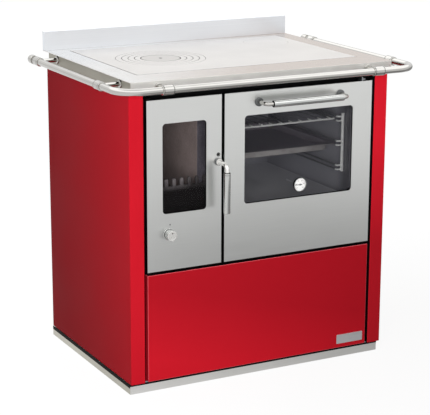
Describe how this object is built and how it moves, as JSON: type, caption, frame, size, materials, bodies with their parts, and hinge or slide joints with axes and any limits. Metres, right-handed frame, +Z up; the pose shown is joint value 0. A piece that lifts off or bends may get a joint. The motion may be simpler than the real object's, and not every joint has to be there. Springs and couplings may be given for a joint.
{
  "type": "wood-burning cooking stove",
  "caption": "Free-standing wood-burning cooking stove with a glazed fire door, drop-down oven door, wood drawer, steel hob with lift-out rings and a towel rail round three sides.",
  "frame": {"origin": "on the floor, in the middle of the overall box", "axes": "+X to the right seen from the front, +Y to the back towards the flue outlet, +Z up; the doors face -Y"},
  "size_m": [0.915, 0.6664, 0.904],
  "materials": {
    "red_enamel": "gloss enamel on steel sheet",
    "black_paint": "matt heat-resistant black",
    "door_steel": "brushed stainless steel",
    "hob_steel": "polished stainless steel",
    "plate_steel": "ground steel plate",
    "chrome": "polished chrome",
    "grip_steel": "satin steel tube",
    "zinc_sheet": "zinc-coated sheet",
    "plinth_steel": "satin stainless sheet",
    "stove_steel": "bare heat-darkened steel",
    "cast_iron": "raw casting",
    "firebrick": "pressed vermiculite board",
    "fire_glass": "clear heat-proof glass",
    "oven_glass": "tinted heat-proof glass",
    "seal_rope": "braided glass rope",
    "oven_enamel": "speckled enamel",
    "wire_chrome": "bright plated wire",
    "needle_paint": "black paint",
    "badge_metal": "blank polished plate"
  },
  "bodies": {
    "stove": {"plinth": "plinth_steel", "base_plate": "zinc_sheet", "side_panel_left": "red_enamel", "side_panel_right": "red_enamel", "rear_panel": "zinc_sheet", "front_frame": "black_paint", "hob_frame": "hob_steel", "hob_skirt": "hob_steel", "splash_back": "hob_steel", "cooking_plate": "plate_steel", "handrail": "chrome", "rail_tees": "chrome", "rail_rosettes": "chrome", "rail_end_caps": "chrome", "oven_box": "oven_enamel", "oven_ladders": "wire_chrome", "oven_shelf": "wire_chrome", "baking_tray": "oven_enamel", "firebox_shell": "stove_steel", "fire_lining_sides": "firebrick", "fire_lining_back": "firebrick", "fire_grate": "cast_iron", "log_guard": "cast_iron", "ash_pan": "stove_steel", "smoke_box": "stove_steel", "flue_spigot": "stove_steel", "fire_hinge_pins": "zinc_sheet", "latch_keeper": "zinc_sheet", "oven_hinge_bearings": "zinc_sheet", "oven_door_catch": "zinc_sheet", "drawer_runners": "zinc_sheet"},
    "fire_door": {"fire_door_skin": "door_steel", "fire_door_frame": "black_paint", "fire_door_glass": "fire_glass", "fire_glass_clips": "zinc_sheet", "fire_door_seal": "seal_rope"},
    "fire_handle": {"fire_handle_rod": "chrome", "fire_handle_grip": "grip_steel", "fire_latch_cam": "zinc_sheet"},
    "air_control": {"air_knob": "grip_steel", "air_disc": "zinc_sheet"},
    "oven_door": {"oven_door_skin": "door_steel", "oven_door_frame": "black_paint", "oven_door_glass": "oven_glass", "oven_door_seal": "seal_rope", "oven_hinge_pins": "zinc_sheet", "oven_handle_rod": "chrome", "oven_handle_rosettes": "chrome", "oven_handle_grip": "grip_steel", "thermometer_case": "chrome"},
    "needle": {"thermometer_needle": "needle_paint"},
    "wood_drawer": {"drawer_front": "red_enamel", "drawer_box": "zinc_sheet", "badge_plate": "badge_metal"},
    "outer_ring": {"hob_ring_outer": "plate_steel"},
    "third_ring": {"hob_ring_third": "plate_steel"},
    "second_ring": {"hob_ring_second": "plate_steel"},
    "inner_ring": {"hob_ring_inner": "plate_steel"},
    "lid": {"centre_lid": "plate_steel"},
    "flue_top_cover": {"flue_cover": "plate_steel"}
  },
  "joints": [
    {"name": "fire_door_hinge", "type": "hinge", "parent": "stove", "child": "fire_door", "pos_m": [-0.334, -0.24175, 0.567], "axis": [0, 0, -1], "range_deg": [0, 110]},
    {"name": "fire_handle_turn", "type": "hinge", "parent": "fire_door", "child": "fire_handle", "pos_m": [-0.1345, -0.25075, 0.6165], "axis": [0, 1, 0], "range_deg": [0, 90]},
    {"name": "air_control_turn", "type": "hinge", "parent": "fire_door", "child": "air_control", "pos_m": [-0.282, -0.25075, 0.4365], "axis": [0, 1, 0], "range_deg": [-45, 135]},
    {"name": "oven_door_hinge", "type": "hinge", "parent": "stove", "child": "oven_door", "pos_m": [0.1135, -0.23875, 0.347], "axis": [1, 0, 0], "range_deg": [0, 90]},
    {"name": "thermometer_needle_turn", "type": "hinge", "parent": "oven_door", "child": "needle", "pos_m": [0.1135, -0.25775, 0.528], "axis": [0, 1, 0], "range_deg": [-45, 225]},
    {"name": "wood_drawer_slide", "type": "slide", "parent": "stove", "child": "wood_drawer", "axis": [0, -1, 0], "range_m": [0, 0.38]},
    {"name": "outer_ring_lift", "type": "slide", "parent": "stove", "child": "outer_ring", "axis": [0, 0, 1], "range_m": [0, 0.04]},
    {"name": "third_ring_lift", "type": "slide", "parent": "outer_ring", "child": "third_ring", "axis": [0, 0, 1], "range_m": [0, 0.04]},
    {"name": "second_ring_lift", "type": "slide", "parent": "third_ring", "child": "second_ring", "axis": [0, 0, 1], "range_m": [0, 0.04]},
    {"name": "inner_ring_lift", "type": "slide", "parent": "second_ring", "child": "inner_ring", "axis": [0, 0, 1], "range_m": [0, 0.04]},
    {"name": "centre_lid_lift", "type": "slide", "parent": "inner_ring", "child": "lid", "axis": [0, 0, 1], "range_m": [0, 0.04]},
    {"name": "flue_cover_lift", "type": "slide", "parent": "stove", "child": "flue_top_cover", "axis": [0, 0, 1], "range_m": [0, 0.04]}
  ]
}
